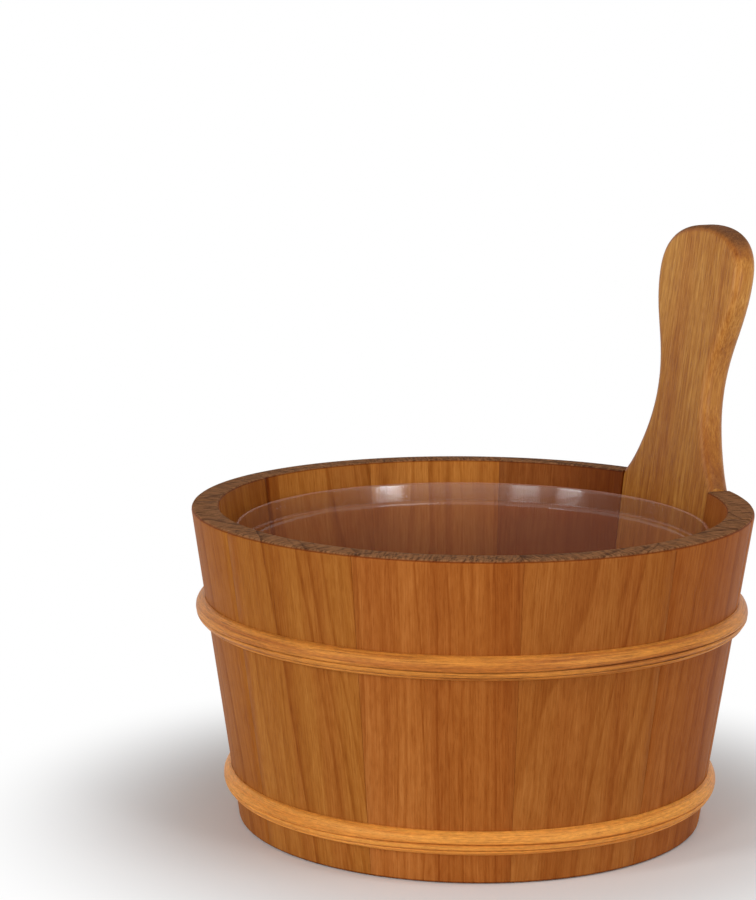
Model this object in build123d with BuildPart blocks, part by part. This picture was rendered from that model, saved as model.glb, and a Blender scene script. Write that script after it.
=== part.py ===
from build123d import *
from math import atan, cos, pi, radians, sin, tan
import os

# A small coopered piggin: eleven staves, one of them carried up as a paddle handle, a boarded bottom
# set in a groove, two hoops of split cane, and a loose plastic liner that lifts out.
# The frame's origin is on the floor, under the middle of the whole object; the handle is towards +Y.

# Staves
rim_radius = 125.0
foot_radius = 103.8
body_height = 141.6
stave_thickness = 12.0
stave_count = 11
rim_outer_round = 2.0
rim_inner_round = 1.0
foot_round = 1.0

# Bottom boards and the groove that holds them
bottom_height = 14.0
bottom_thickness = 10.0
bottom_board_count = 3
tongue_thickness = 6.0
tongue_bevel = 6.0
croze_depth = 4.0
croze_play = 0.15
bottom_wall_gap = 0.5

# Paddle handle: heights are above the rim, the head's rise is above its widest place, its width is a
# share of the stave's own there, and the turn of the round at its root is in degrees
handle_height = 118.5
handle_thickness = 15.3
head_width_share = 0.8
head_rise = 23.0
head_squareness_share = 0.65
neck_half_width = 18.5
neck_height = 43.0
flare_spread_share = 0.36
flare_height = 16.0
root_round = 2.0
root_turn = 48
handle_inner_round = 4.0
handle_outer_round = 6.0

# Hoops of split cane
upper_hoop_height = 96.0
upper_hoop_proud = 4.9
lower_hoop_height = 18.6
lower_hoop_proud = 4.2
hoop_width = 10.6
top_cane_width = 5.4
middle_cane_width = 2.8
cane_round = 0.7
cane_end_gap = 0.2
hoop_clearance = 0.1

# Plastic liner
liner_wall = 1.5
liner_foot_gap = 0.3
liner_foot_play = 7.0
liner_foot_round = 8.0
liner_shoulder_width = 4.4
liner_shoulder_round = 2.0
liner_collar_height = 9.5
liner_collar_flare = 1.3
liner_rim_drop = 9.8
liner_rim_play = 2.5
liner_lip_round = 0.6

# How far a cutting shape runs past what it cuts
overrun = 2.0

# Worked out from the sizes above
taper = (rim_radius - foot_radius) / body_height
slope = atan(taper)
stave_angle = 360 / stave_count
handle_bearing = 90
overall_height = body_height + handle_height
handle_reach = foot_radius + taper * (overall_height - handle_outer_round)
axis_y = (rim_radius - handle_reach) / 2
pail_axis = Axis((0, axis_y, 0), (0, 0, 1))


def upright(bearing):
    """A plane through the pail's axis: its x runs outwards at this bearing and its y upwards."""
    outwards = (cos(radians(bearing)), sin(radians(bearing)), 0)
    across = (sin(radians(bearing)), -cos(radians(bearing)), 0)
    return Plane(origin=(0, axis_y, 0), x_dir=outwards, z_dir=across)


def outer_radius(height):
    return foot_radius + taper * height


def inner_radius(height):
    return outer_radius(height) - stave_thickness / cos(slope)


def flat_distance(height):
    """From the pail's axis to the handle stave's flat inner face."""
    return outer_radius(height) - handle_thickness / cos(slope)


croze_middle = bottom_height + bottom_thickness / 2
croze_radius = inner_radius(croze_middle) + croze_depth
croze_height = tongue_thickness + 2 * croze_play
os.makedirs("parts", exist_ok=True)


def stave_section(seam_bearing, top, inner_at):
    """The slice through a stave at its seam, with the groove that holds the bottom."""
    with BuildSketch(upright(seam_bearing)) as section:
        with BuildLine():
            Polyline(
                (outer_radius(0), 0),
                (outer_radius(top), top),
                (inner_at(top), top),
                (inner_at(0), 0),
                close=True,
            )
        make_face()
        fillet(section.vertices().group_by(Axis.Y)[0], foot_round)
        with Locations((croze_radius, croze_middle)):
            reach = handle_thickness + croze_depth
            Rectangle(reach, croze_height, align=(Align.MAX, Align.CENTER), mode=Mode.SUBTRACT)
    return section.sketch


# The ten plain staves, numbered counterclockwise from the handle stave
for number in range(2, stave_count + 1):
    first_seam = handle_bearing + (number - 1.5) * stave_angle
    with BuildPart() as stave:
        section = stave_section(first_seam, body_height, inner_radius)
        revolve(section, axis=pail_axis, revolution_arc=stave_angle)
        rim_edges = stave.edges().filter_by(GeomType.CIRCLE).group_by(Axis.Z)[-1]
        fillet(rim_edges.sort_by(SortBy.RADIUS)[-1], rim_outer_round)
        rim_edges = stave.edges().filter_by(GeomType.CIRCLE).group_by(Axis.Z)[-1]
        fillet(rim_edges.sort_by(SortBy.RADIUS)[0], rim_inner_round)
    stave.part.label = f"stave_{number:02d}"
    export_step(stave.part, f"parts/{stave.part.label}.step")

# The handle stave: a thicker stave with a flat inner face, sawn above the rim to a paddle
flat_normal = (0, cos(slope), -sin(slope))
flat_plane = Plane(origin=(0, axis_y + flat_distance(0), 0), x_dir=(1, 0, 0), z_dir=flat_normal)
shoulder_half_width = rim_radius * sin(radians(stave_angle / 2))
flare_half_width = neck_half_width + flare_spread_share * (shoulder_half_width - neck_half_width)
widest_height = overall_height - head_rise
head_half_width = head_width_share * flat_distance(widest_height) * tan(radians(stave_angle / 2))
head_corner = widest_height + head_squareness_share * head_rise


def blank_inner_radius(height):
    """The inside of the handle stave's blank, before it is planed flat."""
    return flat_distance(height) - overrun


def above_rim(edge):
    return edge.center().Z > body_height + overrun


def on_flat(edge):
    return flat_plane.to_local_coords(edge.center()).Z < handle_inner_round


def on_outside(edge):
    return flat_plane.to_local_coords(edge.center()).Z > handle_thickness - handle_outer_round


with BuildPart() as handle_stave:
    first_seam = handle_bearing - stave_angle / 2
    section = stave_section(first_seam, overall_height + overrun, blank_inner_radius)
    revolve(section, axis=pail_axis, revolution_arc=stave_angle)
    split(bisect_by=flat_plane, keep=Keep.TOP)
    with BuildSketch(Plane.XZ) as paddle:
        with BuildLine():
            for side in (1, -1):
                widest = (side * head_half_width, widest_height)
                neck = (side * neck_half_width, body_height + neck_height)
                flare = (side * flare_half_width, body_height + flare_height)
                shoulder = (side * shoulder_half_width, body_height)
                Bezier(
                    (0, overall_height),
                    (side * head_half_width * head_squareness_share, overall_height),
                    (widest[0], head_corner),
                    widest,
                )
                Spline(widest, neck, tangents=[(0, -1), (0, -1)])
                root = JernArc(shoulder, (-side, 0), radius=root_round, arc_size=-side * root_turn)
                Spline(neck, flare, root @ 1, tangents=[(0, -1), -(root % 1)])
                Polyline(shoulder, (side * rim_radius, body_height), (side * rim_radius, 0))
            Line((rim_radius, 0), (-rim_radius, 0))
        make_face()
    extrude(amount=-2 * rim_radius, mode=Mode.INTERSECT)
    paddle_edges = handle_stave.edges().filter_by(above_rim)
    fillet(paddle_edges.filter_by(on_flat), handle_inner_round)
    paddle_edges = handle_stave.edges().filter_by(above_rim)
    fillet(paddle_edges.filter_by(on_outside), handle_outer_round)
handle_stave.part.label = "handle_stave"
export_step(handle_stave.part, "parts/handle_stave.step")

# The bottom: boards side by side, their round outline bevelled to a tongue that sits in the groove
tongue_radius = croze_radius - croze_play
board_radius = flat_distance(bottom_height) - bottom_wall_gap
board_width = 2 * tongue_radius / bottom_board_count
tongue_low = croze_middle - tongue_thickness / 2
tongue_high = croze_middle + tongue_thickness / 2
bottom_top = bottom_height + bottom_thickness
for number in range(1, bottom_board_count + 1):
    with BuildPart() as board:
        with BuildSketch(upright(handle_bearing)):
            with BuildLine():
                Polyline(
                    (0, bottom_height),
                    (board_radius - tongue_bevel, bottom_height),
                    (board_radius, tongue_low),
                    (tongue_radius, tongue_low),
                    (tongue_radius, tongue_high),
                    (board_radius, tongue_high),
                    (board_radius - tongue_bevel, bottom_top),
                    (0, bottom_top),
                    close=True,
                )
            make_face()
        revolve(axis=pail_axis)
        left_edge = -tongue_radius + (number - 1) * board_width
        with BuildSketch(Plane.XY.offset(bottom_height)):
            with Locations((left_edge, axis_y)):
                Rectangle(board_width, 2 * tongue_radius, align=(Align.MIN, Align.CENTER))
        extrude(amount=bottom_thickness, mode=Mode.INTERSECT)
    board.part.label = f"bottom_board_{number}"
    export_step(board.part, f"parts/{board.part.label}.step")

# The hoops: each is three lengths of split cane side by side, rounded together, bent round the staves
canes = {
    "top_cane": top_cane_width,
    "middle_cane": middle_cane_width,
    "bottom_cane": hoop_width - top_cane_width - middle_cane_width,
}
hoops = {
    "upper_hoop": (upper_hoop_height, upper_hoop_proud),
    "lower_hoop": (lower_hoop_height, lower_hoop_proud),
}


def against_wall(bearing, height):
    """A plane on the staves' outside: its x runs square out of the wall and its y up along it."""
    section_plane = upright(bearing)
    seat = section_plane.from_local_coords((outer_radius(height), height, 0))
    square_out = section_plane.from_local_coords((cos(slope), -sin(slope), 0)) - section_plane.origin
    return Plane(origin=seat, x_dir=square_out, z_dir=section_plane.z_dir)


for hoop_name, (hoop_height, hoop_proud) in hoops.items():
    end_gap_angle = 360 * cane_end_gap / (2 * pi * outer_radius(hoop_height))
    cane_top = hoop_width / 2
    for turn, (cane_name, cane_width) in enumerate(canes.items()):
        ends_bearing = handle_bearing + (turn - 1) * stave_angle
        with BuildPart() as cane:
            with BuildSketch(against_wall(ends_bearing, hoop_height)) as section:
                Ellipse(hoop_proud, hoop_width / 2)
                with Locations((hoop_clearance, cane_top)):
                    cane_align = (Align.MIN, Align.MAX)
                    Rectangle(hoop_proud, cane_width, align=cane_align, mode=Mode.INTERSECT)
                outer_corners = section.vertices().filter_by_position(Axis.X, hoop_proud / 2, hoop_proud)
                fillet(outer_corners, cane_round)
            revolve(axis=pail_axis, revolution_arc=360 - end_gap_angle)
        cane_top -= cane_width
        cane.part.label = f"{hoop_name}_{cane_name}"
        export_step(cane.part, f"parts/{cane.part.label}.step")

# The plastic liner: a tapered tub with a shoulder, standing loose on the bottom boards
liner_foot = bottom_top + liner_foot_gap
liner_rim = body_height - liner_rim_drop
liner_shoulder = liner_rim - liner_collar_height
liner_foot_radius = flat_distance(liner_foot) - liner_foot_play
liner_rim_radius = flat_distance(liner_rim) - liner_rim_play
liner_collar_radius = liner_rim_radius - liner_collar_flare
liner_shoulder_radius = liner_collar_radius - liner_shoulder_width


def liner_section(inset):
    """The slice through the liner's outside, drawn in on every side but the open top."""
    with BuildSketch(upright(handle_bearing)) as section:
        with BuildLine():
            FilletPolyline(
                (0, liner_foot + inset),
                (liner_foot_radius - inset, liner_foot + inset),
                (liner_shoulder_radius - inset, liner_shoulder + inset),
                (liner_collar_radius - inset, liner_shoulder + inset),
                (liner_rim_radius - inset, liner_rim),
                radius=[liner_foot_round - inset, liner_shoulder_round + inset, liner_shoulder_round - inset],
            )
            Polyline((liner_rim_radius - inset, liner_rim), (0, liner_rim), (0, liner_foot + inset))
        make_face()
    return section.sketch


with BuildPart() as liner:
    revolve(liner_section(0), axis=pail_axis)
    revolve(liner_section(liner_wall), axis=pail_axis, mode=Mode.SUBTRACT)
    fillet(liner.faces().sort_by(Axis.Z)[-1].edges(), liner_lip_round)
liner.part.label = "liner"
export_step(liner.part, "parts/liner.step")
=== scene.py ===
# %% [markdown]
# # A coopered piggin
# A piggin is a small pail with one stave carried up above the rim as its handle. This script dresses
# the imported model of one: ten plain staves, the handle stave, a boarded bottom, two hoops of split cane
# and a loose liner of frosted plastic. The imported model is the frame: it holds every size and place, so
# the first step loads it.

# %% Load the frame
from math import atan, atan2, cos, exp, hypot, pi, radians, sin, sqrt

import bpy
from mathutils import Matrix, Vector
from mathutils import noise as random_field


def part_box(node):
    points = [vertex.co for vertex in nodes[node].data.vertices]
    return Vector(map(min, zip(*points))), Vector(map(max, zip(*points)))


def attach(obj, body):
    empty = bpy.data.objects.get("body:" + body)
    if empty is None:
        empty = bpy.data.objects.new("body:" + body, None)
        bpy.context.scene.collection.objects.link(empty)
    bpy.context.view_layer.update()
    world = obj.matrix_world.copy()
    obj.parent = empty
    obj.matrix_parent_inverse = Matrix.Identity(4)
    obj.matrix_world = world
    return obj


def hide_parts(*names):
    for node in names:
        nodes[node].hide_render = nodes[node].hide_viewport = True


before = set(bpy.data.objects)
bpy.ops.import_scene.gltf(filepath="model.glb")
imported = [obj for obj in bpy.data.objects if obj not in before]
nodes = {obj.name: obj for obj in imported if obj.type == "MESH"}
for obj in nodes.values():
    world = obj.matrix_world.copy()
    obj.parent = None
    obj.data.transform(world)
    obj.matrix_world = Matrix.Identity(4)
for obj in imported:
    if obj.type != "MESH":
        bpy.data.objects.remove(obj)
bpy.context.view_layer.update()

# %% [markdown]
# ## Sizes
# The pail's axis is where the liner's middle is, and the heights come from the nodes' boxes. The few
# sizes that a box doesn't give, such as a wall's thickness, are named here once, in metres.

# %% Sizes of the pail
stave_count = 11
stave_angle = 2 * pi / stave_count
handle_bearing = pi / 2
rim_radius = 0.125
foot_radius = 0.1038
stave_thickness = 0.012

liner_low, liner_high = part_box("liner")
board_low, board_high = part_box("bottom_board_2")
axis_y = (liner_low.y + liner_high.y) / 2
body_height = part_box("stave_06")[1].z
taper = (rim_radius - foot_radius) / body_height
slope = atan(taper)
print("body height, mm:", round(1000 * body_height, 1), "axis at y, mm:", round(1000 * axis_y, 1))


def outer_radius(height):
    return foot_radius + taper * height


# %% [markdown]
# ## Camera
# The camera's place was worked out by fitting the rim, the foot and the seams to a picture. It stands
# 1.17 m from the pail's axis at 0.36 m above the floor, and looks down a little, so the rim opens into
# a flat ellipse. A long lens keeps the pail's sides from leaning in.

# %% Camera
camera_distance = 1.1707
camera_height = 0.3631
camera_bearing = radians(-34.3)
camera_heading = radians(57.76)
camera_pitch = radians(9.60)
camera_roll = radians(0.35)
focal_length = 106.93

camera_data = bpy.data.cameras.new("camera")
camera_data.lens = focal_length
camera = bpy.data.objects.new("camera", camera_data)
bpy.context.scene.collection.objects.link(camera)
camera_place = Vector((
    camera_distance * cos(camera_bearing),
    camera_distance * sin(camera_bearing) + axis_y,
    camera_height,
))
camera.matrix_world = (
    Matrix.Translation(camera_place)
    @ Matrix.Rotation(camera_heading, 4, "Z")
    @ Matrix.Rotation(pi / 2 - camera_pitch, 4, "X")
    @ Matrix.Rotation(camera_roll, 4, "Z")
)
bpy.context.scene.camera = camera
bpy.context.scene.view_settings.view_transform = "Standard"
print("camera at, mm:", [round(1000 * part) for part in camera_place])

# %% [markdown]
# ## Small helpers
# A material is a tree of nodes, and a few short helpers keep each line of it readable. The first makes
# a node with its settings. The second feeds its inputs: a socket is linked to them, and a plain number,
# vector or colour is written on them. Colours are given as they are seen on a screen, and turned into
# the linear ones that a shader reads.

# %% Helpers for nodes and colours
def add(tree, kind, **settings):
    node = tree.nodes.new(kind)
    for key, value in settings.items():
        setattr(node, key, value)
    return node


def feed(tree, node, **sources):
    """Sets a node's inputs, each by its name or, as in0 or in6, by its place in the list."""
    for key, source in sources.items():
        by_place = key.startswith("in") and key[2:].isdigit()
        socket = node.inputs[int(key[2:]) if by_place else key]
        if isinstance(source, bpy.types.NodeSocket):
            tree.links.new(source, socket)
        else:
            socket.default_value = source
    return node


def new_material(name):
    material = bpy.data.materials.new(name)
    material.use_nodes = True
    material.node_tree.nodes.clear()
    return material


def seen(red, green, blue):
    """The linear colour of a screen colour given from 0 to 255."""
    def linear(value):
        share = value / 255
        return share / 12.92 if share <= 0.04045 else ((share + 0.055) / 1.055) ** 2.4
    return (linear(red), linear(green), linear(blue), 1)


# %% [markdown]
# Numbers and vectors each have a node that does sums with them. The helper `span` is the one used most:
# it turns a range of a value into a smooth step from none to all, and the other way round when the
# range is given backwards.

# %% Helpers for sums
def maths(tree, operation, first, second=0.0, third=0.0):
    node = feed(tree, add(tree, "ShaderNodeMath", operation=operation), in0=first, in1=second)
    if operation == "MULTIPLY_ADD":
        feed(tree, node, in2=third)
    return node.outputs[0]


def vector_maths(tree, operation, *vectors):
    """A sum with vectors. A dot product and a length come out as a number."""
    node = add(tree, "ShaderNodeVectorMath", operation=operation)
    feed(tree, node, **{f"in{place}": vector for place, vector in enumerate(vectors)})
    return node.outputs["Value" if operation in ("DOT_PRODUCT", "LENGTH") else "Vector"]


def separate(tree, vector):
    return feed(tree, add(tree, "ShaderNodeSeparateXYZ"), Vector=vector).outputs


def span(tree, value, from_low, from_high, to_low=0.0, to_high=1.0):
    node = add(tree, "ShaderNodeMapRange", interpolation_type="SMOOTHSTEP")
    feed(tree, node, in0=value, in1=from_low, in2=from_high, in3=to_low, in4=to_high)
    return node.outputs[0]


# %% [markdown]
# Patterns are noise, stretched along the grain by a Mapping node, and every finish ends in the same
# kind of shader with a bump. One tone is laid over another by a blend, and made lighter or darker by a
# product, with a share of its own for red, green and blue.

# %% Helpers for patterns and finishes
def stretch(tree, vector, scale, move=(0, 0, 0)):
    node = add(tree, "ShaderNodeMapping")
    return feed(tree, node, Vector=vector, Scale=scale, Location=move).outputs[0]


def noise(tree, vector, detail=2.0, roughness=0.5):
    node = add(tree, "ShaderNodeTexNoise")
    return feed(tree, node, Vector=vector, Scale=1.0, Detail=detail, Roughness=roughness)


def blend(tree, factor, first, second, how="MIX"):
    node = add(tree, "ShaderNodeMix", data_type="RGBA", blend_type=how, clamp_result=True)
    return feed(tree, node, in0=factor, in6=first, in7=second).outputs[2]


def mix_numbers(tree, factor, first, second):
    node = add(tree, "ShaderNodeMix", data_type="FLOAT")
    return feed(tree, node, in0=factor, in2=first, in3=second).outputs[0]


def lit_by(tree, tone, red, green, blue):
    lit = feed(tree, add(tree, "ShaderNodeCombineColor"), in0=red, in1=green, in2=blue)
    return blend(tree, 1.0, tone, lit.outputs[0], "MULTIPLY")


def bumps(tree, height, strength, distance):
    node = add(tree, "ShaderNodeBump")
    return feed(tree, node, Strength=strength, Distance=distance, Height=height).outputs[0]


def surface(tree, colour, normal, roughness, gloss=0.5, **others):
    """The shader that all the finishes share, joined to the material's output."""
    shader = add(tree, "ShaderNodeBsdfPrincipled")
    feed(tree, shader, Roughness=roughness, Normal=normal, **others)
    feed(tree, shader, **{"Base Color": colour, "Specular IOR Level": gloss})
    feed(tree, add(tree, "ShaderNodeOutputMaterial"), Surface=shader.outputs[0])


# %% [markdown]
# ## Wood
# The real staves are sawn from boards, and each board shows another part of a tree. A flat picture
# wrapped on the pail would give that away at the edges, where the lines on a face have to run on into
# the end grain. So the wood is solid: it is worked out from where a point lies in its board.
#
# A Mapping node of the texture kind puts the pattern's origin at the middle of the board's foot, turned
# to the board's bearing and leaned by the wall's slope. After it, x runs outwards through the wall, y
# across the board and z up along it.

# %% Place in the board
def board_place(tree, coordinate, bearing):
    foot_place = (foot_radius * cos(bearing), axis_y + foot_radius * sin(bearing), 0)
    board = add(tree, "ShaderNodeMapping", vector_type="TEXTURE")
    feed(tree, board, Vector=coordinate.outputs["Object"])
    return feed(tree, board, Location=foot_place, Rotation=(0, slope, bearing)).outputs[0]


# %% [markdown]
# The growth rings are rings round a pith that lies somewhere beside the board. Where the pith is far
# off to one side, the rings stand on edge and the face shows straight lines. Where it is straight
# behind, the face cuts the rings flat and shows the arched figure. The rings wander a little, as a
# tree's do, and no two years are equally wide or dark. Through a year the wood darkens slowly, then
# fast, and drops back before the next spring.

# %% Growth rings
wander_fineness = (18, 18, 5)
ring_wander = 0.012
year_fineness = 0.6
year_wander = 1.6
early_wood = 0.22
least_year, year_range = 0.2, 1.1


def growth_rings(tree, board, up_board, pith, ring_width, lean, seed, shift):
    """How much dark late wood a point has. The pith lies outwards and across, in metres."""
    wander = noise(tree, stretch(tree, board, wander_fineness, shift), detail=3)
    reach = (ring_wander, ring_wander, 0)
    wandered = vector_maths(tree, "MULTIPLY_ADD", wander.outputs["Color"], reach, board)
    middle = (pith[0] + ring_wander / 2, pith[1] + ring_wander / 2, 0)
    from_pith = vector_maths(tree, "SUBTRACT", wandered, middle)
    distance = vector_maths(tree, "LENGTH", vector_maths(tree, "MULTIPLY", from_pith, (1, 1, 0)))
    grown = maths(tree, "MULTIPLY_ADD", up_board, lean, distance)
    years = maths(tree, "DIVIDE", grown, ring_width)
    year_noise = add(tree, "ShaderNodeTexNoise", noise_dimensions="1D")
    year_place = maths(tree, "MULTIPLY_ADD", years, year_fineness, seed)
    feed(tree, year_noise, W=year_place, Scale=1.0, Detail=1.0)
    years = maths(tree, "MULTIPLY_ADD", year_noise.outputs[0], year_wander, years)

    season = maths(tree, "FRACT", years)
    early = maths(tree, "MULTIPLY", span(tree, season, 0.1, 0.8), early_wood)
    late = maths(tree, "MULTIPLY_ADD", span(tree, season, 0.62, 0.88), 1 - early_wood, early)
    late = maths(tree, "MULTIPLY", late, span(tree, season, 1.0, 0.92))
    year_tone = add(tree, "ShaderNodeTexWhiteNoise", noise_dimensions="1D")
    feed(tree, year_tone, W=maths(tree, "FLOOR", years))
    darkness = maths(tree, "MULTIPLY_ADD", year_tone.outputs[0], year_range, least_year)
    return maths(tree, "MULTIPLY", late, darkness)


# %% [markdown]
# Rings alone would look drawn. Over them lie bands, patches, streaks, flecks and fibres, and fine dark
# pores, all of them longer along the board than across it. The table says how fine each one is
# outwards, across and along the board, then its detail, its roughness and how strongly it shows.

# %% Grain
grain_fields = {
    "band": ((70, 70, 1.8), 2, 0.5, 0.20),
    "patch": ((28, 28, 13), 2, 0.5, 0.22),
    "streak": ((300, 300, 6), 3, 0.6, 0.36),
    "fleck": ((430, 430, 120), 3, 0.65, 0.40),
    "fibre": ((1500, 1500, 45), 3, 0.65, 0.66),
}
pore_fineness = (1900, 1900, 150)


def wood_grain(tree, board, grain, shift):
    """The patterns by name, and how light they make the wood, where 1 is the board's own tone."""
    fields = {}
    light = 1.0
    for name, (fineness, detail, roughness, strength) in grain_fields.items():
        field = noise(tree, stretch(tree, board, fineness, shift), detail, roughness)
        fields[name] = field.outputs[0]
        centred = maths(tree, "SUBTRACT", fields[name], 0.5)
        light = maths(tree, "MULTIPLY_ADD", centred, strength * grain, light)
    pore = noise(tree, stretch(tree, board, pore_fineness, shift), detail=1)
    fields["pores"] = span(tree, pore.outputs[0], 0.56, 0.72)
    return fields, light


# %% [markdown]
# A sawn end shows the same rings cut across, under saw marks that run through the wall and small
# specks. It is rougher than a face. On the inside, one seam between two staves gets painted shade, which
# stands in for a gap there.

# %% End grain and painted shade at a seam
end_pale = seen(164, 112, 72)
end_dark = seen(80, 49, 30)
end_roughness = 0.85
saw_fineness = (90, 900, 900)
speck_fineness = (1900, 1900, 300)
ring_share = 0.10
seam_shade_core = 0.0008
seam_shade_reach = 0.0026
seam_shade_strength = 0.5


def end_grain(tree, board, late, saw_marks, end_tones, shift):
    """The colour of a sawn end, and how far the saw has roughened it."""
    saw = noise(tree, stretch(tree, board, saw_fineness, shift), detail=3, roughness=0.6)
    speck = noise(tree, stretch(tree, board, speck_fineness, shift), detail=2, roughness=0.7)
    rings = maths(tree, "MULTIPLY", late, ring_share)
    rough_cut = maths(tree, "MULTIPLY_ADD", saw.outputs[0], saw_marks, rings)
    rough_cut = maths(tree, "MULTIPLY_ADD", speck.outputs[0], 1.0 - saw_marks, rough_cut)
    return blend(tree, span(tree, rough_cut, 0.38, 0.68), *end_tones), rough_cut


def seam_painted_shade(tree, coordinate, bearing, seam_bearing):
    """Painted shade: one along a seam on the pail's inside, none beyond a few millimetres from it and
    outside.
    """
    from_axis = stretch(tree, coordinate.outputs["Object"], (1, 1, 1), (0, -axis_y, 0))
    beside_seam = (-sin(seam_bearing), cos(seam_bearing), 0)
    to_seam = vector_maths(tree, "DOT_PRODUCT", from_axis, beside_seam)
    near = span(tree, maths(tree, "ABSOLUTE", to_seam), seam_shade_reach, seam_shade_core)
    outwards = (cos(bearing), sin(bearing), 0)
    facing = vector_maths(tree, "DOT_PRODUCT", coordinate.outputs["Normal"], outwards)
    return maths(tree, "MULTIPLY", near, span(tree, facing, -0.2, -0.6))


# %% [markdown]
# Now all of it comes together in the wood of one board. Besides the grain, the edge towards the heartwood
# is darker, and so are the rounded corners between a face and the end grain. The rest is painted light
# and
# shade: the handle stave gets painted shade at its foot and on one narrow side, and a plain stave is
# painted lighter at its foot and darker towards its rim. Each board's seed shifts its noise, so no two
# boards get the same pattern. Wood doesn't darken to grey: where it is darker it is redder, so its green
# and blue fall off faster than its red.

# %% Wood of one board
red_wood = seen(149, 78, 28)
red_share = 0.35
half_board = 0.035
foot_painted_shade_low, foot_painted_shade_high = 0.13, 0.24
green_power = 1.6
blue_power = 2.7
late_relief = 0.3
fibre_relief = 0.7
pore_relief = 0.6
end_relief = 2.2
wood_bump_strength = 0.5
wood_bump_height = 0.00025
matt_range = 0.12


def board_wood(
    name, bearing, tone, pith, ring_width, ring_strength, lean, heart, seed,
    red=red_wood, grain=1.0, pore_strength=0.10, roughness=0.5, gloss=0.05,
    foot_painted_shade=0.0, side_painted_shade=0.0, painted_light_shade_by_height=0.13, corner_shade=0.5,
    end_tones=(end_pale, end_dark), saw_marks=0.65, stained_seam=None,
):
    """Wood for one board. Heart, the shades (some of them painted shade) and the strengths say how much
    darker the wood gets.
    """
    material = new_material(name)
    tree = material.node_tree
    coordinate = add(tree, "ShaderNodeTexCoord")
    normal = coordinate.outputs["Normal"]
    board = board_place(tree, coordinate, bearing)
    _, across_board, up_board = separate(tree, board)
    shift = (seed * 1.7, seed * 2.9, seed * 0.37)
    late = growth_rings(tree, board, up_board, pith, ring_width, lean, seed, shift)
    fields, light = wood_grain(tree, board, grain, shift)

    level = maths(tree, "ABSOLUTE", separate(tree, normal)[2])
    off_face = span(tree, level, 0.2, 0.5)
    off_end = span(tree, level, 0.95, 0.7)
    side = vector_maths(tree, "DOT_PRODUCT", normal, (-sin(bearing), cos(bearing), 0))
    above_foot = span(tree, up_board, foot_painted_shade_low, foot_painted_shade_high)
    shades = [
        (late, -ring_strength, 1.0),
        (fields["pores"], -pore_strength, 1.0),
        (across_board, -heart / half_board, 1.0),
        # Painted shade: the handle stave is darker low down, and lightens from 0.13 m to 0.24 m up.
        (above_foot, foot_painted_shade, 1.0 - foot_painted_shade),
        # Painted shade: one narrow side of the handle is darker.
        (span(tree, side, 0.05, 0.45), -side_painted_shade, 1.0),
        # Painted light and shade: a plain stave is lighter at its foot and darker towards its rim.
        (up_board, -painted_light_shade_by_height / body_height, 1.0 + 0.6 * painted_light_shade_by_height),
        (maths(tree, "MULTIPLY", off_face, off_end), -corner_shade, 1.0),
    ]
    # Painted shade along one seam on the inside.
    if stained_seam is not None:
        shades.append((seam_painted_shade(tree, coordinate, bearing, stained_seam), -seam_shade_strength, 1.0))
    for value, strength, start in shades:
        light = maths(tree, "MULTIPLY", light, maths(tree, "MULTIPLY_ADD", value, strength, start))

    green_light = maths(tree, "POWER", light, green_power)
    blue_light = maths(tree, "POWER", light, blue_power)
    red_streaks = maths(tree, "MULTIPLY", span(tree, fields["band"], 0.60, 0.36), red_share)
    face = lit_by(tree, blend(tree, red_streaks, tone, red), light, green_light, blue_light)
    end, rough_cut = end_grain(tree, board, late, saw_marks, end_tones, shift)
    cut_across = span(tree, level, 0.45, 0.85)
    colour = blend(tree, cut_across, face, end)

    fibres = maths(tree, "MULTIPLY", fields["fibre"], fibre_relief)
    relief = maths(tree, "MULTIPLY_ADD", late, late_relief, fibres)
    relief = maths(tree, "MULTIPLY_ADD", fields["pores"], -pore_relief, relief)
    relief = mix_numbers(tree, cut_across, relief, maths(tree, "MULTIPLY", rough_cut, end_relief))
    normal_bump = bumps(tree, relief, wood_bump_strength, wood_bump_height)
    matt = maths(tree, "MULTIPLY_ADD", fields["fibre"], matt_range, roughness - matt_range / 2)
    surface(tree, colour, normal_bump, mix_numbers(tree, cut_across, matt, end_roughness), gloss)
    return material


# %% [markdown]
# ## Selecting
# An operator acts on all that is selected, so everything is deselected first, and then faces, edges or
# points are selected by their place, as one would pick them by hand.

# %% Helpers for selecting
merge_distance = 1e-7


def deselect():
    if bpy.context.object and bpy.context.object.mode != "OBJECT":
        bpy.ops.object.mode_set(mode="OBJECT")
    bpy.ops.object.select_all(action="DESELECT")


def select_by(mesh, kind, test):
    """Selects the vertices, edges or faces that pass a test. Their flags are set in Object Mode."""
    bpy.ops.object.mode_set(mode="OBJECT")
    for element in list(mesh.vertices) + list(mesh.edges) + list(mesh.polygons):
        element.select = False
    for element in getattr(mesh, kind):
        element.select = test(element)
    bpy.ops.object.mode_set(mode="EDIT")
    modes = {"vertices": "VERT", "edges": "EDGE", "polygons": "FACE"}
    bpy.ops.mesh.select_mode(type=modes[kind])


def outline_of_selection():
    """Turns selected edges into the outline of the faces between them."""
    bpy.ops.mesh.select_mode(type="FACE")
    bpy.ops.mesh.select_mode(type="EDGE")
    bpy.ops.mesh.region_to_loop()


def turn_about_axis(angle):
    bpy.ops.transform.rotate(
        value=angle, orient_axis="Z", orient_type="GLOBAL", center_override=(0, 0, 0)
    )


def spin_about_axis(steps, angle):
    """Spins the selected section about the axis, closes what meets and turns the faces outwards."""
    bpy.ops.mesh.spin(steps=steps, angle=angle, center=(0, 0, 0), axis=(0, 0, 1))
    bpy.ops.mesh.select_all(action="SELECT")
    bpy.ops.mesh.remove_doubles(threshold=merge_distance)
    bpy.ops.mesh.normals_make_consistent(inside=False)


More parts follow.
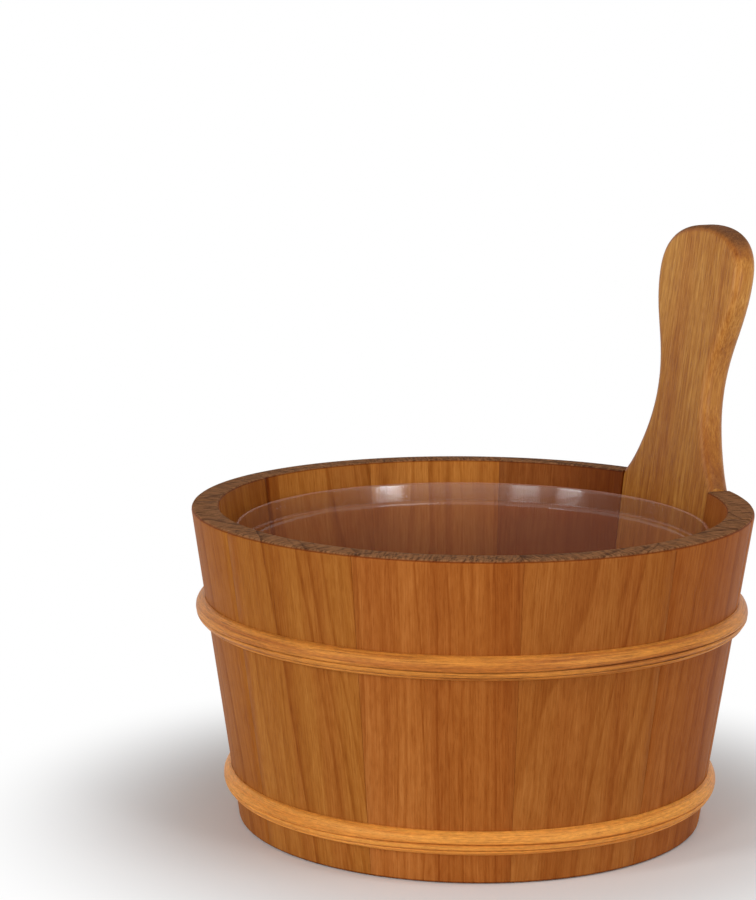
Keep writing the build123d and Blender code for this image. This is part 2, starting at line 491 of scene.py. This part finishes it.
# %% [markdown]
# ## Staves
# A stave is a slice of a cone's wall. By hand it is quickest as its own cross-section, drawn once as a
# flat face and spun about the pail's axis by one stave's share of the circle. The groove for the bottom
# is cut in the flat face by three bisections, and the rounds at the rim and the foot are bevels of
# single corners, so they cost nothing later. After the spin the long edges at the seams get a fine
# bevel, which a cooper calls easing the arris: it draws the thin dark line between two staves.

# %% Sizes of a stave's section
rim_outer_round = 0.002
rim_inner_round = 0.001
foot_round = 0.001
round_segments = 4
spin_steps = 14
seam_bevel = 0.00022
groove_step = 0.00185
groove_play = 0.00015
groove_low = board_low.z + groove_step
groove_high = board_high.z - groove_step
groove_radius = (board_high.y - board_low.y) / 2 + groove_play
at_height = 1e-6
seam_tolerance = 1e-5
print("groove from", round(1000 * groove_low, 2), "to", round(1000 * groove_high, 2), "mm")


# %% Draw the section
def cut_flat(height):
    bpy.ops.mesh.select_all(action="SELECT")
    bpy.ops.mesh.bisect(plane_co=(0, 0, height), plane_no=(0, 0, 1))


def draw_section():
    """A stave's section in the plane of x and z, with its groove, in Edit Mode."""
    deselect()
    bpy.ops.mesh.primitive_plane_add(size=1, rotation=(pi / 2, 0, 0))
    stave = bpy.context.object
    bpy.ops.object.transform_apply()
    mesh = stave.data
    bpy.ops.object.mode_set(mode="EDIT")
    wall = stave_thickness / cos(slope)
    bpy.ops.transform.resize(value=(wall, 1, body_height))
    bpy.ops.transform.translate(value=(foot_radius - wall / 2, 0, body_height / 2))
    select_by(mesh, "vertices", lambda corner: corner.co.z > body_height / 2)
    bpy.ops.transform.translate(value=(rim_radius - foot_radius, 0, 0))

    def between_cuts(face):
        return groove_low < face.center.z < groove_high

    cut_flat(groove_low)
    cut_flat(groove_high)
    select_by(mesh, "polygons", between_cuts)
    bpy.ops.mesh.bisect(plane_co=(groove_radius, 0, 0), plane_no=(1, 0, 0))
    select_by(mesh, "polygons", lambda face: between_cuts(face) and face.center.x < groove_radius)
    bpy.ops.mesh.delete(type="FACE")
    return stave


# %% Round the section and spin it
def make_plain_stave():
    stave = draw_section()
    mesh = stave.data
    wall_middle = rim_radius - stave_thickness / 2

    def at_rim(corner):
        return corner.co.z > body_height - at_height

    corners = (
        (lambda corner: at_rim(corner) and corner.co.x > wall_middle, rim_outer_round),
        (lambda corner: at_rim(corner) and corner.co.x < wall_middle, rim_inner_round),
        (lambda corner: corner.co.z < at_height, foot_round),
    )
    for test, size in corners:
        select_by(mesh, "vertices", test)
        bpy.ops.mesh.bevel(offset=size, segments=round_segments, affect="VERTICES")

    bpy.ops.mesh.select_all(action="SELECT")
    turn_about_axis(-stave_angle / 2)
    bpy.ops.mesh.select_all(action="SELECT")
    spin_about_axis(spin_steps, stave_angle)

    def on_seam(vertex):
        bearing = atan2(vertex.co.y, vertex.co.x)
        return abs(abs(bearing) - stave_angle / 2) < seam_tolerance

    select_by(mesh, "vertices", on_seam)
    outline_of_selection()
    bpy.ops.mesh.bevel(offset=seam_bevel, segments=1, affect="EDGES")
    deselect()
    mesh.shade_smooth()
    return stave


plain_stave = make_plain_stave()
print("one stave:", len(plain_stave.data.vertices), "points,", len(plain_stave.data.polygons), "faces")

# %% [markdown]
# The ten plain staves are copies of that one, each with its own mesh, turned to its own place round the
# pail. No two boards are alike, so each gets a wood of its own. The table goes round the pail from the
# handle. It gives a board's tone, the pith's place outwards and across, how wide and how dark its rings
# are, how far they lean, and how much darker the board gets towards one edge, near the heartwood.

# %% Choose a board for each stave
amber = seen(165, 95, 38)
brown = seen(157, 89, 36)
tan_wood = seen(164, 100, 38)
gold_and_painted_light = seen(200, 128, 56)
fawn = seen(159, 93, 37)
dark_wood_and_shade = seen(140, 76, 28)

boards = {
    # stave_02, beside the handle, is dark partly in its own wood and partly as painted shade of the
    # handle, darkest towards it.
    "stave_02": (dark_wood_and_shade, (-0.300, 0.050), 0.0042, 0.18, 0.00, -0.22),
    # stave_03 to stave_05, at the back of the inside, are light partly in their own wood and partly as
    # painted light, for light that reaches deep into the pail.
    "stave_03": (gold_and_painted_light, (-0.260, -0.090), 0.0036, 0.18, 0.01, -0.06),
    "stave_04": (gold_and_painted_light, (-0.070, 0.020), 0.0048, 0.20, 0.05, 0.04),
    "stave_05": (tan_wood, (-0.240, 0.110), 0.0038, 0.20, 0.00, 0.06),
    "stave_06": (tan_wood, (-0.200, -0.140), 0.0050, 0.22, 0.02, -0.04),
    "stave_07": (tan_wood, (-0.200, 0.160), 0.0068, 0.24, -0.06, 0.00),
    "stave_08": (amber, (-0.200, -0.160), 0.0030, 0.17, 0.01, 0.12),
    "stave_09": (fawn, (-0.060, -0.022), 0.0042, 0.15, -0.05, -0.03),
    "stave_10": (brown, (-0.280, 0.130), 0.0046, 0.20, 0.00, 0.00),
    "stave_11": (amber, (-0.230, -0.060), 0.0044, 0.20, -0.02, 0.04),
}
# These two boards meet at the seam that gets painted shade on the inside.
seam_shaded_boards = ("stave_04", "stave_05")
stained_seam = handle_bearing + 3.5 * stave_angle

# %% Copy the stave to its places
for number, (node_name, board) in enumerate(boards.items(), start=1):
    bearing = handle_bearing + number * stave_angle
    seam = stained_seam if node_name in seam_shaded_boards else None
    deselect()
    plain_stave.select_set(True)
    bpy.context.view_layer.objects.active = plain_stave
    bpy.ops.object.duplicate()
    stave = bpy.context.object
    stave.name = "plain_" + node_name
    stave.rotation_euler = (0, 0, bearing)
    stave.location = (0, axis_y, 0)
    bpy.ops.object.transform_apply()
    # Each plain stave takes the default painted light and shade by height.
    wood = board_wood("wood_of_" + node_name, bearing, *board, seed=number, stained_seam=seam)
    stave.data.materials.append(wood)
    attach(stave, "pail")
    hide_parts(node_name)
bpy.data.objects.remove(plain_stave)
print("staves placed:", len(boards))

# %% [markdown]
# ## The handle stave
# The handle grows out of its stave in one piece: a flare at the rim, a neck for the hand, and a rounded
# head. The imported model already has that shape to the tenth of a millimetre, so its node stays and only
# gets its wood. Such a board is picked for strength: its rings stand on edge and its grain runs straight
# from the foot to the head, in fine close lines.

# %% Wood for the handle stave
def give_finish(node_name, finish):
    """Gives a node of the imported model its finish, in place of the plain one that it came with."""
    node = nodes[node_name]
    node.data.materials.clear()
    node.data.materials.append(finish)
    print(node_name, "gets", finish.name)


handle_tone = seen(198, 136, 62)
handle_red = seen(178, 106, 42)
handle_ends = (seen(138, 88, 48), seen(98, 58, 30))
# The handle's wood has painted shade at its foot and on one narrow side.
give_finish("handle_stave", board_wood(
    "wood_of_handle", handle_bearing, handle_tone,
    pith=(0.05, 0.260), ring_width=0.0030, ring_strength=0.10, lean=0.0, heart=0.0, seed=19,
    red=handle_red, grain=1.5, pore_strength=0.22, roughness=0.40, gloss=0.22,
    foot_painted_shade=0.24, side_painted_shade=0.28, painted_light_shade_by_height=0.0, corner_shade=0.28,
    end_tones=handle_ends, saw_marks=0.2,
))

# %% [markdown]
# ## The bottom
# The bottom is three boards side by side. Their solids are right too, so they keep their nodes. The
# boards lie flat and run the same way, so their wood is the same tree laid on its side.

# %% Wood for the bottom boards
bottom_pale = seen(176, 116, 66)
bottom_dark = seen(140, 84, 44)
bottom_lightness = (1.0, 0.86, 1.06)
bottom_fibre_strength = 0.4


def bottom_wood(name, seed, lightness):
    material = new_material(name)
    tree = material.node_tree
    coordinate = add(tree, "ShaderNodeTexCoord")
    shift = (seed * 0.31, seed * 0.17, seed * 0.4)
    lying = stretch(tree, coordinate.outputs["Object"], (1, 1, 1), shift)
    rings = add(tree, "ShaderNodeTexWave", wave_type="RINGS", rings_direction="Y", wave_profile="SAW")
    along = stretch(tree, lying, (1, 0.12, 1))
    feed(tree, rings, Vector=along, Scale=38.0, Distortion=3.0, Detail=2.0)
    fibre = noise(tree, stretch(tree, lying, (1100, 20, 1100)), detail=3, roughness=0.6).outputs[0]
    ringed = maths(tree, "MULTIPLY", rings.outputs["Fac"], 0.5)
    tone = blend(tree, ringed, bottom_pale, bottom_dark)
    darkest = lightness - bottom_fibre_strength / 2
    light = maths(tree, "MULTIPLY_ADD", fibre, bottom_fibre_strength, darkest)
    colour = lit_by(tree, tone, light, light, light)
    surface(tree, colour, bumps(tree, fibre, 0.5, 0.0002), 0.6)
    return material


for number, lightness in enumerate(bottom_lightness, start=1):
    give_finish(f"bottom_board_{number}", bottom_wood(f"wood_of_bottom_{number}", number, lightness))

# %% [markdown]
# ## Hoops of split cane
# A rattan cane is split into strips, and three of them are laid side by side round the pail and rounded
# off together. Two things make it read as cane: the clefts between the strips, which wander up and down
# as they go round, and the fine ridges of the fibres, which run along every strip. Both are too long and
# thin for a bevel, so a strip starts as a flat section with many cuts across it, is spun round the pail,
# and then its points are pushed in, the way a carver would score it: each point knows how far along and
# how far across the strip it is.

# %% Sizes of the hoops
hoop_width = 0.0106
hoop_clearance = 0.0001
hoops = {"upper_hoop": (0.0960, 0.0049), "lower_hoop": (0.0186, 0.0042)}
cane_shares = {"top_cane": (0.49, 1.0), "middle_cane": (0.226, 0.49), "bottom_cane": (0.0, 0.226)}
drift_turns = {"upper_hoop": 0.6, "lower_hoop": 2.4}
end_gap = 0.0002
steps_round = 240
cuts_per_hoop = 62
fewest_cuts = 6


def hoop_drift(hoop_name, bearing):
    """How far the strips have wandered up or down here, as a share of the hoop's width."""
    turn = drift_turns[hoop_name]
    return 0.05 * sin(2 * bearing + turn) + 0.025 * sin(5 * bearing + 2 * turn)


# %% Spin one strip
def spin_strip(hoop_height, hoop_proud, width_share, first_bearing):
    """A flat strip one hoop wide, cut across and spun round the axis of the world."""
    deselect()
    bpy.ops.mesh.primitive_plane_add(size=1, rotation=(pi / 2, 0, 0), location=(0.5, 0, 0.5))
    cane = bpy.context.object
    bpy.ops.object.transform_apply()
    bpy.ops.object.mode_set(mode="EDIT")

    def upright(edge):
        first, second = (cane.data.vertices[index].co.z for index in edge.vertices)
        return abs(first - second) > 0.5

    select_by(cane.data, "edges", upright)
    cuts = max(fewest_cuts, round(cuts_per_hoop * width_share))
    bpy.ops.mesh.subdivide(number_cuts=cuts - 1)
    bpy.ops.mesh.select_all(action="SELECT")
    bpy.ops.transform.resize(value=(hoop_proud, 1, hoop_width), center_override=(0, 0, 0))
    seat_radius = outer_radius(hoop_height)
    bpy.ops.transform.translate(value=(seat_radius, 0, 0))
    turn_about_axis(-first_bearing)
    spin_about_axis(steps_round, 2 * pi - end_gap / seat_radius)
    deselect()
    return cane


# %% [markdown]
# The outside of a strip follows the hoop's round. Each cleft is a narrow dent along its side, and the
# ridges are two fields of noise, a fine and a coarse one, that change fast across the strip and slowly
# along it.

# %% Score the strip
cleft_depth = 0.00065
cleft_width = 0.00024
ridge_depth = 0.00011
least_thickness = 0.00004
noise_ring = 9
noise_step = 7
fine_across, fine_along = 2400, 0.6
coarse_across, coarse_along = 700, 0.3


def scored(hoop_proud, across, to_clefts, bearing, turn):
    """How far the outside stands out here, with the clefts and ridges pushed in."""
    proud = hoop_proud * sqrt(max(0, 1 - (across / (hoop_width / 2)) ** 2))
    for distance in to_clefts:
        proud -= cleft_depth * exp(-((distance / cleft_width) ** 2) / 2)
    x = noise_ring * cos(bearing)
    y = noise_ring * sin(bearing) + noise_step * turn
    fine = random_field.noise((across * fine_across, x * fine_along, y * fine_along))
    coarse = random_field.noise((across * coarse_across, x * coarse_along, y * coarse_along))
    proud -= ridge_depth * (0.6 + 0.8 * fine + 1.3 * max(0, coarse))
    return max(proud, hoop_clearance + least_thickness)


def make_cane(hoop_name, cane_name, turn):
    hoop_height, hoop_proud = hoops[hoop_name]
    low_share, high_share = cane_shares[cane_name]
    seat_radius = outer_radius(hoop_height)
    first_bearing = handle_bearing + turn * stave_angle
    cane = spin_strip(hoop_height, hoop_proud, high_share - low_share, first_bearing)
    for vertex in cane.data.vertices:
        bearing = atan2(vertex.co.y, vertex.co.x)
        share_across = vertex.co.z / hoop_width
        drift = hoop_drift(hoop_name, bearing)
        low = low_share + drift if low_share > 0 else 0
        high = high_share + drift if high_share < 1 else 1
        across = (low + (high - low) * share_across - 0.5) * hoop_width
        proud = hoop_clearance
        if (hypot(vertex.co.x, vertex.co.y) - seat_radius) / hoop_proud > 0.5:
            to_clefts = []
            if low_share > 0:
                to_clefts.append(share_across * (high - low) * hoop_width)
            if high_share < 1:
                to_clefts.append((1 - share_across) * (high - low) * hoop_width)
            proud = scored(hoop_proud, across, to_clefts, bearing, turn)
        radius = outer_radius(hoop_height) + proud * cos(slope) + across * sin(slope)
        height = hoop_height - proud * sin(slope) + across * cos(slope)
        vertex.co = (radius * cos(bearing), radius * sin(bearing) + axis_y, height)
    cane.name = f"split_{hoop_name}_{cane_name}"
    return cane


# %% [markdown]
# The cane's finish follows the strip: fine light and dark fibres along it, broader patches of amber, and
# a darker brown down in the clefts, which is painted shade: down there little light comes in, so the
# colour is tied to how far a point is sunk below the hoop's round. First come the point's places in the
# hoop's own section, how far it stands out and how far across it lies.

# %% Place in the hoop
def cane_place(tree, coordinate, hoop_name):
    """A place that follows the strip, and how far the point is sunk below the hoop's round."""
    hoop_height, hoop_proud = hoops[hoop_name]
    to_middle = (0, -axis_y, -hoop_height)
    centred = stretch(tree, coordinate.outputs["Object"], (1, 1, 1), to_middle)
    x, y, up = separate(tree, centred)
    from_axis = vector_maths(tree, "LENGTH", vector_maths(tree, "MULTIPLY", centred, (1, 1, 0)))
    out = maths(tree, "SUBTRACT", from_axis, outer_radius(hoop_height))
    proud = maths(tree, "MULTIPLY_ADD", out, cos(slope), maths(tree, "MULTIPLY", up, -sin(slope)))
    across = maths(tree, "MULTIPLY_ADD", out, sin(slope), maths(tree, "MULTIPLY", up, cos(slope)))
    round_section = feed(
        tree, add(tree, "ShaderNodeCombineXYZ"),
        in0=maths(tree, "DIVIDE", proud, hoop_proud), in1=maths(tree, "DIVIDE", across, hoop_width / 2),
    )
    on_round = vector_maths(tree, "LENGTH", round_section.outputs[0])
    sunk = maths(tree, "SUBTRACT", 1.0, on_round)
    turn = maths(tree, "ARCTAN2", across, proud)
    strip = feed(tree, add(tree, "ShaderNodeCombineXYZ"), in0=x, in1=y, in2=turn)
    return strip.outputs[0], sunk


# %% Cane material
def cane_finish(name, hoop_name, pale, amber_tone, dark, cleft_shade_tone):
    material = new_material(name)
    tree = material.node_tree
    coordinate = add(tree, "ShaderNodeTexCoord")
    strip, sunk = cane_place(tree, coordinate, hoop_name)
    fine = noise(tree, stretch(tree, strip, (44, 44, 26)), detail=4, roughness=0.75).outputs[0]
    broad = noise(tree, stretch(tree, strip, (14, 14, 2.2)), detail=2).outputs[0]
    short_place = stretch(tree, coordinate.outputs["Object"], (300, 300, 1700))
    short = noise(tree, short_place, detail=3, roughness=0.6).outputs[0]
    tone = blend(tree, span(tree, broad, 0.35, 0.68), pale, amber_tone)
    tone = blend(tree, span(tree, fine, 0.50, 0.68), tone, dark)
    patchy = span(tree, broad, 0.25, 0.6, 0.25, 0.75)
    # Painted shade: the clefts are darker the deeper a point is sunk.
    cleft_painted_shade = maths(tree, "MULTIPLY", span(tree, sunk, 0.03, 0.14), patchy)
    tone = blend(tree, cleft_painted_shade, tone, cleft_shade_tone)
    light = maths(tree, "MULTIPLY_ADD", short, 0.9, 0.55)
    colour = lit_by(tree, tone, light, light, light)
    surface(tree, colour, bumps(tree, fine, 0.6, 0.0002), 0.42, gloss=0.16)
    return material


# %% [markdown]
# The upper hoop is browner than the lower one. For each hoop the tones are the pale one, the amber of
# the patches, the dark fibres and the painted shade in the clefts. The middle strip's ends meet below the
# handle, and those of the other two one stave to either side.

# %% Make the six canes
cane_tones = {
    "upper_hoop": (seen(214, 138, 56), seen(178, 103, 37), seen(106, 52, 14), seen(96, 42, 10)),
    "lower_hoop": (seen(232, 156, 68), seen(214, 134, 52), seen(168, 98, 36), seen(178, 104, 38)),
}
for hoop_name in hoops:
    finish = cane_finish("cane_of_" + hoop_name, hoop_name, *cane_tones[hoop_name])
    for turn, cane_name in enumerate(cane_shares, start=-1):
        cane = make_cane(hoop_name, cane_name, turn)
        cane.data.shade_smooth()
        cane.data.materials.append(finish)
        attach(cane, "pail")
        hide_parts(f"{hoop_name}_{cane_name}")
        print(cane.name, "has", len(cane.data.polygons), "faces")

# %% [markdown]
# ## The liner
# The liner is a thin tub of moulded plastic with a ledge and a collar. By hand it starts as a cylinder
# without its top, and every next part of its wall is the open ring extruded: outwards for the ledge, up
# for the collar. The rings are bevelled, a little at the ledge and a lot at the foot. Moulded plastic
# shows its corners as thin bright lines, so the ledge's bevels are tight.

# %% Sizes of the liner
liner_sides = 160
liner_wall = 0.0015
ledge_height = 0.1223
liner_foot_radius = 0.0850
liner_foot_inset = 0.012
ledge_inner_radius = 0.0998
ledge_outer_radius = 0.1042
liner_rim_radius = (liner_high.x - liner_low.x) / 2
liner_foot_round = 0.008
ledge_round = 0.0007
ring_tolerance = 1e-5


def widen(first_radius, second_radius):
    """Scales the selected ring about the pail's axis, from one radius to another."""
    share = second_radius / first_radius
    bpy.ops.transform.resize(value=(share, share, 1), center_override=(0, axis_y, 0))


def select_ring(mesh, height, radius):
    def on_ring(vertex):
        off_height = abs(vertex.co.z - height)
        off_radius = abs(hypot(vertex.co.x, vertex.co.y - axis_y) - radius)
        return max(off_height, off_radius) < ring_tolerance

    select_by(mesh, "edges", lambda edge: all(on_ring(mesh.vertices[index]) for index in edge.vertices))


# %% Model the liner's outside
deselect()
tub_height = ledge_height - liner_low.z
bpy.ops.mesh.primitive_cylinder_add(
    vertices=liner_sides, radius=liner_foot_radius, depth=tub_height,
    location=(0, axis_y, liner_low.z + tub_height / 2),
)
tub = bpy.context.object
tub.name = "frosted_liner"
bpy.ops.object.transform_apply()
bpy.ops.object.mode_set(mode="EDIT")
select_by(tub.data, "polygons", lambda face: face.normal.z > 0.9)
bpy.ops.mesh.delete(type="ONLY_FACE")
select_by(tub.data, "polygons", lambda face: face.normal.z < -0.9)
bpy.ops.mesh.inset(thickness=liner_foot_inset)
select_ring(tub.data, ledge_height, liner_foot_radius)
widen(liner_foot_radius, ledge_inner_radius)
bpy.ops.mesh.extrude_region()
widen(ledge_inner_radius, ledge_outer_radius)
bpy.ops.mesh.extrude_region()
bpy.ops.transform.translate(value=(0, 0, liner_high.z - ledge_height))
widen(ledge_outer_radius, liner_rim_radius)
rings = (
    (liner_low.z, liner_foot_radius, liner_foot_round, 6),
    (ledge_height, ledge_inner_radius, ledge_round, 2),
    (ledge_height, ledge_outer_radius, ledge_round, 2),
)
for height, radius, size, segments in rings:
    select_ring(tub.data, height, radius)
    bpy.ops.mesh.bevel(offset=size, segments=segments, affect="EDGES")
bpy.ops.mesh.select_all(action="SELECT")
bpy.ops.mesh.normals_make_consistent(inside=False)
bpy.ops.object.mode_set(mode="OBJECT")
print("liner's outside:", len(tub.data.polygons), "faces")

# %% [markdown]
# A Solidify modifier gives the wall its thickness, and the lip is rounded last, when it has two edges.
# Three fine rings are then cut round the wall, below the ledge, above it and below the lip. They keep
# the smooth shading of the small rounds from running out over the tall walls.

# %% Give the liner its wall and lip
lip_round = 0.0006
lip_band = 0.0003
ring_heights = (ledge_height - 0.003, ledge_height + 0.0014, liner_high.z - 0.0012)

wall = tub.modifiers.new("wall", "SOLIDIFY")
wall.thickness = liner_wall
wall.offset = -1
wall.use_even_offset = True
bpy.ops.object.modifier_apply(modifier=wall.name)


def on_lip_top(edge):
    return all(tub.data.vertices[index].co.z > liner_high.z - lip_band for index in edge.vertices)


select_by(tub.data, "edges", on_lip_top)
outline_of_selection()
bpy.ops.mesh.bevel(offset=lip_round, segments=3, affect="EDGES")
for height in ring_heights:
    cut_flat(height)
deselect()
tub.data.shade_smooth()
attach(tub, "liner")
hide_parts("liner")
tub_top = max(vertex.co.z for vertex in tub.data.vertices)
print("liner:", len(tub.data.polygons), "faces, its top at mm", round(1000 * tub_top, 1))

# %% [markdown]
# Light goes straight through thin plastic and some of it is scattered back, so the finish is a pinkish
# plastic that is mostly see-through: its alpha is the share that stays on each wall. The collar is
# polished and mirrors the lamps. The tub below it is frosted and mirrors nothing. At the lip and the
# ledge's corner one looks along the plastic instead of through it, so more of it stays there, and the
# light that it gathers there is painted in as a paler colour: a thin painted highlight. The ledge's flat
# is clearer, so that it doesn't widen that line. Alpha thins the gloss as well, so the collar's index is
# set higher than plastic's own.

# %% Liner plastic
def plastic_finish(name, colour, alpha, roughness, index, level):
    material = new_material(name)
    tree = material.node_tree
    place = add(tree, "ShaderNodeTexCoord").outputs["Object"]
    haze = noise(tree, stretch(tree, place, (60, 60, 60)), detail=3).outputs[0]
    scuffs = noise(tree, stretch(tree, place, (900, 900, 900)), detail=2).outputs[0]
    warmer = (colour[0], colour[1] * 0.9, colour[2] * 0.9, 1)
    tint = blend(tree, span(tree, haze, 0.3, 0.7), colour, warmer)
    matt = span(tree, haze, 0.2, 0.8, roughness, roughness + 0.08)
    surface(tree, tint, bumps(tree, scuffs, 0.25, 0.0001), matt, level, Alpha=alpha, IOR=index)
    return material


# Each finish has its colour, its alpha, its roughness, its index and its level of gloss
finishes = {
    "frosted_tub": (seen(194, 130, 104), 0.17, 0.45, 1.3, 0.2),
    "polished_collar": (seen(184, 128, 100), 0.165, 0.08, 2.0, 1.0),
    # The edge's higher alpha is the plastic seen along its length; its paler colour is painted highlight.
    "plastic_edge": (seen(226, 176, 160), 0.22, 0.2, 1.49, 0.5),
    "clear_ledge": (seen(194, 130, 104), 0.07, 0.45, 1.3, 0.2),
}
for name, values in finishes.items():
    tub.data.materials.append(plastic_finish(name, *values))

# %% [markdown]
# The finishes go to the faces by their place: first the lip and the ledge's outer corner, then the
# ledge's flat, and the rest is collar above the ledge and tub below it.

# %% Give each face of the liner its finish
lip_depth = 0.0007
corner_width = 0.0007
corner_height = 0.0008
flat_height = 0.0017
collar_start = 0.0002


def finish_of(face):
    from_axis = hypot(face.center.x, face.center.y - axis_y)
    from_ledge = abs(face.center.z - ledge_height)
    on_lip = face.center.z > liner_high.z - lip_depth
    on_corner = from_ledge < corner_height and from_axis > ledge_outer_radius - corner_width
    if on_lip or on_corner:
        return "plastic_edge"
    if from_ledge < flat_height and abs(face.normal.z) > 0.9:
        return "clear_ledge"
    return "polished_collar" if face.center.z > ledge_height + collar_start else "frosted_tub"


finish_places = {name: place for place, name in enumerate(finishes)}
for face in tub.data.polygons:
    face.material_index = finish_places[finish_of(face)]
for name, place in finish_places.items():
    print(name, "on", sum(face.material_index == place for face in tub.data.polygons), "faces")

# %% [markdown]
# ## Floor and backdrop
# The floor is white and runs on to a white world, so the picture's ground is white, and it keeps the
# pail's soft shadow: away from the pail the camera sees it as plain white. What the camera sees of the
# world is brighter than the light that the world gives, so the pail isn't washed out.

# %% Floor
floor_size = 8.0
floor_drop = 0.0002
floor_colour = (0.9, 0.9, 0.9, 1)
shadow_inner, shadow_outer = 0.11, 0.24
white = (1, 1, 1, 1)


def sees_ground(tree):
    """One for the camera's rays and for those seen in a gloss or through the plastic, otherwise none."""
    paths = add(tree, "ShaderNodeLightPath").outputs
    gloss = maths(tree, "MAXIMUM", paths["Is Glossy Ray"], paths["Is Transmission Ray"])
    return maths(tree, "MAXIMUM", paths["Is Camera Ray"], gloss)


def mix_shaders(tree, factor, first, second):
    node = add(tree, "ShaderNodeMixShader")
    return feed(tree, node, in0=factor, in1=first.outputs[0], in2=second.outputs[0]).outputs[0]


deselect()
bpy.ops.mesh.primitive_plane_add(size=floor_size, location=(0, 0, -floor_drop))
floor = bpy.context.object
floor.name = "floor"
floor_material = new_material("white_floor")
tree = floor_material.node_tree
floor_place = add(tree, "ShaderNodeTexCoord").outputs["Object"]
from_pail = vector_maths(tree, "LENGTH", stretch(tree, floor_place, (1, 1, 0), (0, -axis_y, 0)))
far_off = span(tree, from_pail, shadow_inner, shadow_outer)
far_white = maths(tree, "MULTIPLY", far_off, sees_ground(tree))
near_floor = feed(tree, add(tree, "ShaderNodeBsdfDiffuse"), Color=floor_colour)
far_floor = feed(tree, add(tree, "ShaderNodeEmission"), Color=white, Strength=1.0)
floor_surface = mix_shaders(tree, far_white, near_floor, far_floor)
feed(tree, add(tree, "ShaderNodeOutputMaterial"), Surface=floor_surface)
floor.data.materials.append(floor_material)
print("floor:", floor_size, "m wide")

# %% World
room_strength = 0.26

world = bpy.data.worlds.new("studio")
bpy.context.scene.world = world
world.use_nodes = True
tree = world.node_tree
tree.nodes.clear()
room = feed(tree, add(tree, "ShaderNodeBackground"), Color=white, Strength=room_strength)
ground = feed(tree, add(tree, "ShaderNodeBackground"), Color=white, Strength=1.0)
sky = mix_shaders(tree, sees_ground(tree), room, ground)
feed(tree, add(tree, "ShaderNodeOutputWorld"), Surface=sky)
print("world lights the room at", room_strength)

# %% [markdown]
# ## Lamps
# Lamps stand where a photographer's soft boxes would: two tall strips at the left of the camera, a low
# one at the right, and a small one high up that lights the pail's inside. The strips show as highlights
# on the collar. A lamp's bearing is counted from the camera's, to the right.

# %% Lamps
def soft_box(name, bearing, height, distance, width, tall, power):
    """A large lamp that looks at the pail."""
    lamp_data = bpy.data.lights.new(name, "AREA")
    lamp_data.shape = "RECTANGLE"
    lamp_data.size = width
    lamp_data.size_y = tall
    lamp_data.energy = power
    lamp = bpy.data.objects.new(name, lamp_data)
    bpy.context.scene.collection.objects.link(lamp)
    place = Vector((
        distance * cos(camera_bearing + bearing),
        axis_y + distance * sin(camera_bearing + bearing),
        height,
    ))
    target = Vector((0, axis_y, body_height / 2))
    lamp.location = place
    lamp.rotation_mode = "QUATERNION"
    lamp.rotation_quaternion = (target - place).to_track_quat("-Z", "Y")
    print(name, "at, mm:", [round(1000 * part) for part in place])


soft_box("left_strip", radians(-53), height=0.60, distance=1.6, width=0.36, tall=1.2, power=9.8)
soft_box("middle_strip", radians(-28), height=0.60, distance=1.6, width=0.42, tall=1.2, power=4.9)
soft_box("right_strip", radians(44.5), height=0.28, distance=1.5, width=0.36, tall=0.5, power=6.3)
soft_box("top", radians(52), height=1.6, distance=1.0, width=0.7, tall=0.7, power=6.5)
